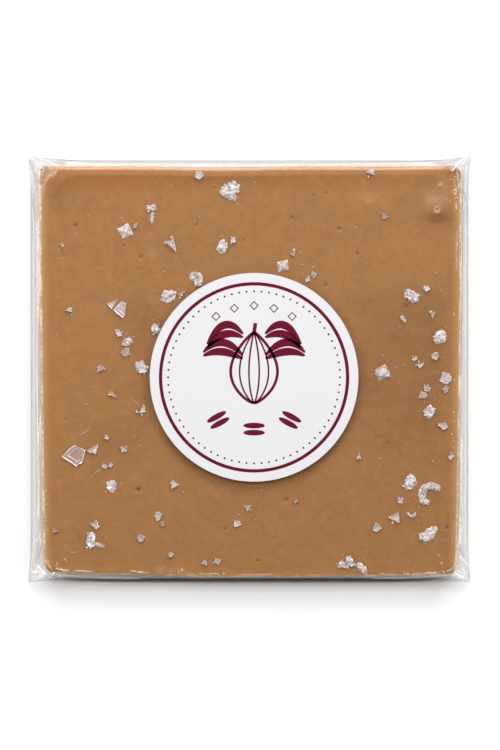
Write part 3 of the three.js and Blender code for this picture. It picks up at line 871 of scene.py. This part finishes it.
# lines where the film is whitened, some by a sharp crease, most as painted highlights of the lamps and
# painted
# light over shade: x, y along each, half width, strength
whitenedAndHighlights = [
    ([(-52.4, 51), (-50.9, 49.5), (-49.3, 47.8)], 0.08, 0.7),
    ([(-51.6, 51), (-49, 50.1), (-45.9, 48.8)], 0.09, 0.6),
    ([(-49.9, 40.6), (-49.2, 43.6), (-48.6, 45.3), (-47.2, 46.7), (-46.3, 47.8), (-45.2, 48.5)],
     0.10, 0.16),
    ([(-48.5, 45.9), (-47.2, 46.3)], 0.35, 0.13), ([(-50.1, 47), (-49.2, 47.6)], 0.18, 0.45),
    ([(-52, 46.2), (-51.3, 47.5), (-50.8, 48.6)], 0.08, 0.35), ([(-50.2, 50.3), (-49.4, 49.2)], 0.08, 0.4),
    ([(52.2, 51), (50.7, 49.9), (48.6, 47.6)], 0.12, 0.85),
    ([(52.4, 50.9), (51.3, 49.6), (50.1, 48.2)], 0.08, 0.5), ([(51.9, 50.4), (50.9, 50.7)], 0.08, 0.4),
    ([(51.6, 49.9), (51, 49.3)], 0.10, 0.5), ([(51.9, 48.8), (51.6, 46), (51.7, 42)], 0.10, 0.35),
    ([(49.9, 47.6), (49.7, 45.6)], 0.10, 0.12), ([(48.9, 46.9), (48.3, 46.3)], 0.11, 0.12),
    ([(-50.5, -47.2), (-51.2, -48.4), (-51.8, -49.6)], 0.19, 1),
    ([(-50.5, -47.2), (-49.9, -48), (-49, -48.9)], 0.19, 1),
    ([(-50.9, -48.6), (-50.2, -48.5), (-49.6, -48.9)], 0.34, 0.60),
    ([(-52.3, -50.9), (-50.9, -50.1), (-49.6, -49.4)], 0.16, 0.9),
    ([(-46.9, -48.9), (-47.6, -49.8), (-48.8, -50.5)], 0.16, 0.9),
    ([(-52.2, -50.2), (-51.4, -49.9)], 0.12, 0.7), ([(49.2, -48.8), (50.6, -49.7), (52.3, -50.9)], 0.19, 1),
    ([(50.3, -45), (51.6, -46.2), (52.7, -47.3)], 0.15, 0.95),
    ([(49.9, -48.2), (51.2, -49.5), (51.7, -50.6)], 0.12, 0.7), ([(48.3, -50.7), (48.9, -50.9)], 0.18, 1),
    ([(50.9, -47.5), (52, -49.4)], 0.12, 0.6), ([(-46, -49.5), (-38, -49.95), (-27, -50.3)], 0.32, 0.40),
    ([(47, -49.4), (40, -49.95), (30, -50.3)], 0.30, 0.34), ([(-51.6, -48.6), (-49.6, -49.8)], 1.2, 0.20),
    ([(51.6, -48.6), (49.7, -49.7)], 1.2, 0.20),
    ([(-51.75, 38), (-51.70, 10), (-51.62, -20), (-51.5, -42)], 0.14, 0.50),
    ([(-50.95, 33), (-50.85, 5), (-50.7, -22), (-50.4, -36)], 0.10, 0.45),
    ([(51.85, 41), (51.80, 12), (51.72, -18), (51.55, -42)], 0.15, 0.50),
    ([(51.2, 30), (51.15, 0), (50.9, -30)], 0.09, 0.30),
]
# folds that look grey, and grey lines along the slab's upright sides that are partly painted shade next to
# its edge, likewise
greyFoldsAndShade = [
    ([(-50.35, 46.5), (-50.9, 43.5), (-51.5, 40.5), (-51.5, 36.5)], 0.14, 0.42),
    ([(-52.3, 49.8), (-51.3, 47.4), (-51, 45)], 0.75, 0.34),
    ([(-50.6, 50.2), (-48, 49.6), (-44.5, 49.4)], 0.60, 0.36), ([(-51.6, 50.2), (-48.8, 47.4)], 0.85, 0.34),
    ([(52, 49.6), (51.2, 47.2), (50.9, 45)], 0.75, 0.32),
    ([(51, 50.3), (48.6, 49.6), (45, 49.3)], 0.60, 0.36), ([(51.6, 50.2), (48.8, 47.4)], 0.85, 0.34),
    ([(50.7, 46.4), (51.1, 43), (51.9, 39.5), (52, 35)], 0.11, 0.55), ([(51, 46), (51, 30)], 0.12, 0.55),
    ([(50.35, 24), (50.2, 0), (49.9, -22)], 0.16, 0.16),
    ([(51, 30), (50.75, 0), (50.3, -25), (49.9, -40)], 0.11, 0.50),
    ([(-50.85, 28), (-50.65, 0), (-50.2, -28), (-49.6, -42)], 0.10, 0.30),
    ([(-49.6, -41.5), (-50.6, -45.5)], 0.14, 0.30), ([(-50.6, -41), (-51, -46.5)], 0.2, 0.22),
    ([(50.5, -43), (51.4, -45.2)], 0.2, 0.22),
    ([(-52.6, 51.1), (-49, 50.75), (-43.5, 50.3), (-35, 50.12), (35, 50.12), (42, 50.3), (49, 50.8),
      (52.6, 51.1)], 0.11, 0.28),
    ([(-46, 49.9), (-38, 49.66), (0, 49.55), (36, 49.66), (46, 49.9)], 0.25, 0.42),
]
# a dark sheet along the lower edge: a painted contact shadow under the pack
contactShadowLap = {"span": (-49.0, 50.0), "fade": 12.0, "reach": (-51.7, -50.25), "rise": 0.35, "strength": 0.44}
cornerSigns = [(-1, -1), (1, -1), (1, 1), (-1, 1)]


def crowdedShares(count):
    # shares from 0 to 1, crowded towards both ends
    even = np.arange(1, count + 1) / (count + 1)
    return 0.45 * even + 0.55 * (1 - np.cos(np.pi * even)) / 2


def slabLoop(offset):
    # the slab's outline moved out by offset: an arc at each corner and a straight side after it
    halfX, halfY = slab["width"] / 2 + offset, slab["length"] / 2 + offset
    shares, along = np.linspace(0, 1, bag["arcSteps"]), crowdedShares(bag["sideSteps"])[:, None]
    arcs = []
    for corner, (signX, signY) in enumerate(cornerSigns):
        radius = max(slab["cornerRadii"][corner] + offset, 0.4)
        angle = np.pi / 2 * (corner + 2 + shares)
        arcs.append(np.stack([signX * (halfX - radius) + radius * np.cos(angle),
                              signY * (halfY - radius) + radius * np.sin(angle)], 1))
    parts = []
    for arc, after in zip(arcs, arcs[1:] + arcs[:1]):
        parts += [arc, arc[-1] * (1 - along) + after[0] * along]
    loop = np.concatenate(parts)
    loop[:, 0] *= bulge(loop[:, 1] / halfY)
    return loop + slab["middle"]


def weldPoint(corner, distance, onUpright):
    # the weld at a distance from a corner's tip, along its upright or level side, bent out by a square law
    signX, signY = cornerSigns[corner]
    tipX, tipY = bag["tip"]
    halfX, halfY = bag["width"] / 2, (bag["length"] if signY > 0 else bag["lowerLength"]) / 2
    bend = (1 - np.clip(distance / bag["earLength"], 0, 1)) ** 2
    upright = np.stack([signX * (halfX + (tipX - halfX) * bend), signY * (tipY - distance)], -1)
    level = np.stack([signX * (tipX - distance), signY * (halfY + (tipY - halfY) * bend)], -1)
    return upright if onUpright else level


def weldLoop():
    # the bag's weld, with a point for each point of slabLoop
    tipX, tipY = bag["tip"]
    shares = np.linspace(-1, 1, bag["arcSteps"])
    along = crowdedShares(bag["sideSteps"])
    parts = []
    for corner in range(4):
        upright = corner % 2 == 0   # the loop comes to this corner along its upright side
        full = 2 * (tipX if upright else tipY)
        gone = bag["tipSpan"] + (full - 2 * bag["tipSpan"]) * along
        parts += [weldPoint(corner, bag["tipSpan"] * -shares[shares < 0], upright),
                  weldPoint(corner, bag["tipSpan"] * shares[shares >= 0], not upright),
                  weldPoint(corner, gone[along < 0.5], not upright),
                  weldPoint((corner + 1) % 4, full - gone[along >= 0.5], not upright)]
    return np.concatenate(parts)


def creaseHeight(x, y, crumples):
    # ridges like low tents that run in from the tips and fade at both ends, and crumples near the tips
    tipX, tipY = bag["tip"]
    height = np.zeros_like(x)
    for corner, (signX, signY) in enumerate(cornerSigns):
        inX, inY = tipX - signX * x, tipY - signY * y
        distance = np.hypot(inX, inY)
        angle = np.degrees(np.arctan2(inY, inX))
        for direction, rise, spread, reach in creases[corner]:
            tent = np.clip(1 - np.abs(angle - direction) / spread, 0, 1)
            ends = smoothStep(0, 1.4, distance) * (1 - smoothStep(0.45 * reach, reach, distance))
            height += rise * tent * ends
        near = 1 - smoothStep(0.4 * bag["crumpleReach"], bag["crumpleReach"], distance)
        height += bag["crumpleRise"] * near * (1 - 2 * np.abs(crumples(x, y)))
    return height


def lineMark(x, y, lines):
    # how near each point lies to any of some lines, as a bell curve across each
    mark = np.zeros_like(x)
    for path, half, strength in lines:
        path = np.array(path)
        for start, end in zip(path[:-1], path[1:]):
            step = end - start
            share = np.clip(((x - start[0]) * step[0] + (y - start[1]) * step[1]) / (step @ step), 0, 1)
            gap = np.hypot(x - start[0] - share * step[0], y - start[1] - share * step[1])
            mark = np.maximum(mark, strength * np.exp(-(gap / half) ** 2))
    return mark


def filmProfile(turn):
    # shares across and down for turns of 0 to 1: an arc that leans to 28 degrees, then a curve to the weld
    lean, arcTurn, arcAcross, arcDown, bendDown = np.radians(28), 0.4, 0.53, 0.079, 0.224
    if turn < arcTurn:
        angle = lean * turn / arcTurn
        return arcAcross * np.sin(angle) / np.sin(lean), arcDown * (1 - np.cos(angle)) / (1 - np.cos(lean))
    u = (turn - arcTurn) / (1 - arcTurn)
    start, bend, end = (1 - u) ** 2, 2 * u * (1 - u), u * u
    return start * arcAcross + bend + end, start * arcDown + bend * bendDown + end


def filmSheet(inner, weld, level, weldZ, flats, turns):
    # rings of one sheet from its middle out: flat to the inner loop, then down its profile to the weld
    middle = np.array(slab["middle"])
    flat = 1 - (1 - np.linspace(0.04, 1, flats)) ** 2 * 0.96
    rings = [(middle + (inner - middle) * share, level, 0.0) for share in flat]
    for turn in np.linspace(0, 1, turns)[1:]:
        across, down = filmProfile(turn)
        rings.append((inner * (1 - across) + weld * across, level + (weldZ - level) * down, turn))
    plans, heights, turned = zip(*rings)
    plan = np.stack(plans)
    return plan, np.tile(np.array(heights)[:, None], plan.shape[1]), np.array(turned)[:, None]


def makeFilm(finish):
    draws = np.random.default_rng(5)
    dents, crumples, streaks = (
        waves(draws, count, longest, shortest)
        for count, longest, shortest in ((12, 30.0, 9.0), (4, 4.5, 2.2), (22, 40.0, 5.0)))
    weld = weldLoop()
    outward = outwardOf(weld)
    along = np.concatenate([[0], np.cumsum(np.linalg.norm(np.diff(weld, axis=0), axis=1))])
    sheets, marks = [], {"dense": [], "white": [], "fold": []}
    sides = [(1, bag["top"], bag["faceSheet"]), (-1, bag["under"], bag["backSheet"])]
    for side, level, (inset, flats, turns) in sides:
        plan, z, turn = filmSheet(slabLoop(-inset), weld, level, bag["weld"] + 0.02 * side, flats, turns)
        x, y = plan[..., 0], plan[..., 1]
        # streaks run along the edges: long waves along them, short ones across
        fade = np.sin(np.pi * turn.clip(0, 1)) ** 0.7
        across = 7.0 * np.linalg.norm(plan - weld[None], axis=2)
        upright = smoothStep(-2.0, 2.0, np.abs(x) - np.abs(y) - 1.5)
        streaked = (0.4 + 0.6 * upright) * streaks(across + 300 * (side > 0), along[None] * 0.35)
        creased = np.where(turn > 0, 1 - smoothStep(0.75, 1.0, turn), 0.15)
        shift = bag["streakRise"] * streaked * fade + creaseHeight(x, y, crumples) * creased
        white, fold = (lineMark(x, y, lines) * (side > 0) for lines in (whitenedAndHighlights, greyFoldsAndShade))
        dense = (0.25 + 0.75 * turn ** 2) * np.ones_like(x)
        for key, mark in (("dense", dense), ("white", white), ("fold", fold)):
            marks[key].append(mark)
        tilt = np.pi / 2 * turn ** 1.3
        plan = plan + outward[None] * (shift * np.sin(tilt))[..., None]
        dent = bag["dentRise"] * dents(x, y) * (1 - turn)
        z = z + side * (shift * np.cos(tilt) + dent + bag["whitenedRise"] * white)
        sheets.append(np.concatenate([plan, z[..., None]], -1))
    top, bottom = sheets
    top[..., 2] = np.minimum(top[..., 2], label["low"] - 0.01)
    bottom[..., 2] = np.maximum(bottom[..., 2], 0.03)
    ends = [[*slab["middle"], bag["top"]], [*slab["middle"], bag["under"]]]
    points = np.concatenate([top.reshape(-1, 3), bottom[::-1].reshape(-1, 3), ends])
    rows, ring = len(top) + len(bottom), np.arange(len(weld))
    faces = [gridFaces(rows, len(weld), closed=True)[:, ::-1], fanFaces(ring, len(points) - 2),
             fanFaces((rows - 1) * len(weld) + ring, len(points) - 1, flip=True)]
    for key, (face, back) in marks.items():
        marks[key] = np.concatenate([face.ravel(), back[::-1].ravel(), [0, 0]])
    film = makePiece("film", points, faces, finish, marks=marks)
    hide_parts("film_bag")


def makeSheet(name, finish, x, y, height, fold):
    # a thin sheet with its own two faces, from grids of places, heights and fold marks
    low = np.maximum(height - bag["sheetThickness"], 0.02)
    layers = [np.stack([x, y, z], -1).reshape(-1, 3) for z in (low, low + bag["sheetThickness"])]
    count, border = x.size, borderOf(*x.shape)
    after = np.roll(border, -1)
    faces = [gridFaces(*x.shape), gridFaces(*x.shape)[:, ::-1] + count,
             np.stack([border, after, after + count, border + count], -1)[:, ::-1]]
    marks = {"dense": np.full(2 * count, 0.4), "white": np.zeros(2 * count), "fold": np.tile(fold.ravel(), 2)}
    makePiece(name, np.concatenate(layers), faces, finish, marks=marks)


def makeFlapAndContactShadow(finish):
    # the flap folded behind the pack, curved at its free edge, and a dark lap at the lower edge, a sheet that
    # is a painted contact shadow
    ripple = waves(np.random.default_rng(8), 10, 40.0, 8.0)
    x, down = np.meshgrid(np.linspace(-49.5, 49.5, 180), np.linspace(0, 1, 60))
    y = 49.6 - down * bag["flapDepth"]
    height = 0.12 + 0.03 * ripple(x, y) + 0.5 * (1 - smoothStep(0, 0.06, down))
    makeSheet("film_flap", finish, x, y, height, 0 * x)
    (low, high), (front, back), fade = (contactShadowLap[key] for key in ("span", "reach", "fade"))
    x, down = np.meshgrid(np.linspace(low, high, 160), np.linspace(0, 1, 14))
    share = (x - low) / (high - low)
    straight = smoothStep(0, 0.22, share) * smoothStep(1, 0.82, share)
    y = back + (front - back) * down + contactShadowLap["rise"] * (1 - straight)
    ends = smoothStep(low, low + fade, x) * smoothStep(high, high - fade, x)
    # how dark the painted contact shadow is
    dark = ends * smoothStep(0, 0.18, down) * smoothStep(1.0, 0.42, down) * contactShadowLap["strength"]
    makeSheet("film_contact_shadow", finish, x, y, 0.10 + 0 * x, dark)


label = {"middle": (1.1, -2.0), "radius": 25.0, "low": 9.60, "high": 9.82, "round": 0.05, "inkHigh": 0.022}


def makeLabel(finish):
    # a disc with a rounded edge, from rings of a profile turned about its middle
    steps = 256
    radius, edge, low, high = (label[key] for key in ("radius", "round", "low", "high"))
    profile = [(radius - edge, low), (radius, low + edge), (radius, high - edge), (radius - edge, high)]
    profile += [(radius * share, high) for share in (0.97, 0.8, 0.6, 0.4, 0.2)]
    angle = 2 * np.pi * np.arange(steps) / steps
    rings = [np.column_stack([r * np.cos(angle), r * np.sin(angle), np.full(steps, z)]) for r, z in profile]
    points = np.concatenate([*rings, [[0, 0, low], [0, 0, high]]])
    points[:, :2] += label["middle"]
    ring = np.arange(steps)
    faces = [gridFaces(len(profile), steps, closed=True), fanFaces(ring, len(points) - 2, flip=True),
             fanFaces((len(profile) - 1) * steps + ring, len(points) - 1)]
    disc = makePiece("label_disc", points, faces, finish, smooth=False)
    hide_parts("round_label")


class Print(Gathered):
    # inked shapes, each a band along a line, as thin solids on the paper
    def band(self, line, half, closed=False):
        # half is the band's half width, one value or one for each point; four points across make a flat bar
        line, half = np.asarray(line, float), np.broadcast_to(half, len(line))[:, None]
        along = np.roll(line, -1, 0) - np.roll(line, 1, 0) if closed else np.gradient(line, axis=0)
        side = np.stack([-along[:, 1], along[:, 0]], 1)
        side /= np.maximum(np.linalg.norm(side, axis=1, keepdims=True), 1e-9)
        left, right = line + side * half, line - side * half
        low, high = label["high"] - 0.02, label["high"] + label["inkHigh"]
        corners = [np.column_stack([edge, np.full(len(line), z)])
                   for edge, z in ((right, low), (right, high), (left, high), (left, low))]
        points = np.stack(corners, 1).reshape(-1, 3)
        points[:, :2] += label["middle"]
        ends, last = np.arange(4), (len(line) - 1) * 4
        after = np.roll(ends, -1)
        faces = [gridFaces(len(line), 4, closed=True)[:, ::-1]]
        if closed:
            faces.append(np.stack([last + ends, last + after, after, ends], -1)[:, ::-1])
        else:
            faces += [ends[None], last + ends[None, ::-1]]
        self.gather(points, faces)

    def ring(self, radius, half, steps):
        angle = 2 * np.pi * np.arange(steps) / steps
        self.band(np.stack([radius * np.cos(angle), radius * np.sin(angle)], 1), half, closed=True)

    def dot(self, x, y, radius, turn=0.0, length=None):
        # a filled oval: a line through it whose half width is that of an ellipse
        share = np.linspace(-0.999, 0.999, 25)
        reach = (length or radius) * share
        line = np.stack([x + reach * np.cos(turn), y + reach * np.sin(turn)], 1)
        self.band(line, radius * np.sqrt(1 - share ** 2))


printed = {
    "line": (22.4, 0.4),                               # radius, half width
    "beads": (20.6, 0.24, 72),                         # radius of their ring, radius of each, how many
    "pod": (5.6, -6.2, 17.0),                          # half width, lower end and length
    # share of the pod's half width, and half width of the line
    "ribs": [(-1, 0.34), (-0.62, 0.2), (-0.22, 0.2), (0.22, 0.2), (0.62, 0.2), (1, 0.34)],
    "leaves": [(0.95, 9.5, 9.6), (0.25, 10.5, 4.5)],   # droop, reach and height of the root
    "beans": [(-8.6, -10.2, 0.5), (0.0, -12.4, 0.0), (8.6, -10.2, -0.5)],   # x, y and turn
    "beanHalf": (0.85, 0.68, 2.6),                     # distance from the bean's middle, width and length
    "crystals": (17.2, 0.95, [58, 74, 90, 106, 122]),  # distance, half width, directions in degrees
}


def makePrint(finish):
    # a cocoa pod between two leaves, with beans below, crystals above and a ring of beads round them
    ink = Print()
    ink.ring(*printed["line"], 360)
    radius, beadRadius, count = printed["beads"]
    for angle in np.arange(count) * 2 * np.pi / count:
        ink.dot(radius * np.cos(angle), radius * np.sin(angle), beadRadius)
    t = np.linspace(0, 1, 60)
    half, low, length = printed["pod"]
    for share, ribHalf in printed["ribs"]:
        ink.band(np.stack([half * np.sin(np.pi * t ** 0.86) ** 0.8 * share, low + length * t], 1), ribHalf)
    stalk = t[:20]
    ink.band(np.stack([0.5 * np.sin(2 * stalk), 10.6 + 2.4 * stalk / stalk[-1]], 1), 0.45)
    for side in (-1, 1):
        for droop, reach, root in printed["leaves"]:
            leafX = side * (2.2 + reach * t)
            leafY = root + 3.2 * np.sin(np.pi * t * 0.8) - 5.0 * droop * t ** 2
            leafHalf = 0.95 * np.sin(np.pi * np.clip(t, 0.002, 0.998)) ** 0.75
            for above in (-1, 1):
                ink.band(np.stack([leafX, leafY + above * (leafHalf + 0.16)], 1)[3:-3], leafHalf[3:-3])
    apart, beanWide, beanLong = printed["beanHalf"]
    for x, y, turn in printed["beans"]:
        for above in (-apart, apart):
            ink.dot(x - above * np.sin(turn), y + above * np.cos(turn), beanWide, turn, beanLong)
    distance, crystalHalf, directions = printed["crystals"]
    for angle in np.radians(directions):
        corners = np.array([(0, 1), (-1, 0), (0, -1), (1, 0)]) * crystalHalf
        ink.band(corners + [distance * np.cos(angle), distance * np.sin(angle)], 0.16, closed=True)
    ink.make("label_print", finish, "crimson_ink")


studio = {
    "view": (0.00012, -0.00144), "distance": 1.5, "frameHeight": 0.1799, "sensor": 36.0,
    "tableSize": 3.0, "white": (0.96, 0.96, 0.96, 1), "world": 0.11,
    # name: place, size, power
    "lights": {
        "beyond": ((0.058, 0.610, 0.510), (0.80, 0.42), 5.8),
        "above": ((-0.035, 0.265, 0.860), (0.70, 0.26), 2.9),
        "left": ((-0.580, 0.120, 0.680), (0.16, 0.50), 2.0),
        "right": ((0.600, 0.120, 0.660), (0.16, 0.50), 2.0),
        "front": ((0.0, -0.56, 0.57), (0.60, 0.06), 0.90),
    },
}


def makeStudio():
    f = Finish("whiteTable")
    half = studio["tableSize"] / 2
    mesh = bpy.data.meshes.new("tableTop")
    mesh.from_pydata([(signX * half, signY * half, 0) for signX, signY in cornerSigns], [], [(0, 1, 2, 3)])
    white = f.skin({"Base Color": studio["white"], "Roughness": 0.8, "Specular IOR Level": 0.1})
    mesh.materials.append(f.close(white))
    place("tableTop", mesh)
    scene.world = bpy.data.worlds.new("room")
    scene.world.use_nodes = True
    background = scene.world.node_tree.nodes["Background"]
    background.inputs["Color"].default_value = (1, 1, 1, 1)
    background.inputs["Strength"].default_value = studio["world"]
    for name, (spot, (width, depth), power) in studio["lights"].items():   # each faces the origin
        lamp = bpy.data.lights.new(name, "AREA")
        lamp.shape, lamp.size, lamp.size_y, lamp.energy = "RECTANGLE", width, depth, power
        holder = place(name, lamp)
        holder.location = spot
        away = np.array(spot) / np.linalg.norm(spot)
        holder.rotation_euler = (-np.arcsin(away[1]), np.arctan2(away[0], away[2]), 0)
    lens = bpy.data.cameras.new("camera")
    lens.sensor_fit, lens.sensor_width, lens.sensor_height = "AUTO", studio["sensor"], studio["sensor"]
    lens.lens = studio["sensor"] * studio["distance"] / studio["frameHeight"]
    scene.camera = place("camera", lens)
    scene.camera.location = (*studio["view"], studio["distance"] + slab["face"] * mm)
    scene.view_settings.view_transform = "Standard"


makeStudio()
ripples = makeChocolate(chocolateFinish())
makeSalt(saltFinish(), ripples)
makeShavings(shavingFinish(), ripples)
makeFilm(filmFinish())
makeFlapAndContactShadow(bpy.data.materials["clearFilm"])
makeLabel(paperFinish())
makePrint(inkFinish())
